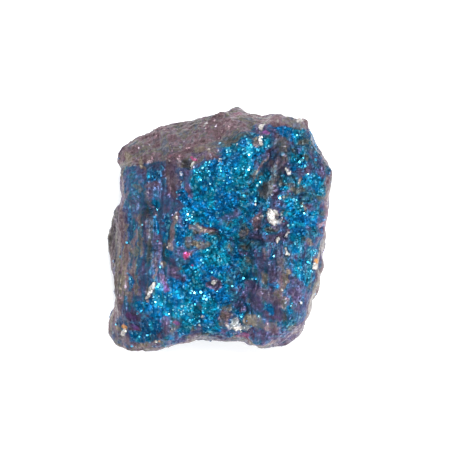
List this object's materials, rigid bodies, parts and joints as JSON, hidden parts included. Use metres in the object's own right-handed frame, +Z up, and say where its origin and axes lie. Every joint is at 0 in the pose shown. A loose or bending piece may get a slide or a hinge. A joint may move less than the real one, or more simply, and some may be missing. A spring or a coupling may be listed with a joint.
{
  "type": "rough chalcopyrite chunk",
  "caption": "Rough broken chunk of tarnished chalcopyrite ore, flat-topped and block-like, with a groove across its upper side and a flat spot to rest on.",
  "frame": {"origin": "on the resting surface, under the middle of the chunk's box", "axes": "+Z up as the chunk lies on its broad side, +Y along its longest way across, towards the sloping dull face, +X towards the long side beyond the groove"},
  "size_m": [0.0314, 0.034, 0.0186],
  "materials": {
    "tarnished_ore": "rough and sparkling, with an iridescent blue, violet and brown tarnish"
  },
  "bodies": {
    "root": {"chalcopyrite_chunk": "tarnished_ore"}
  },
  "joints": []
}
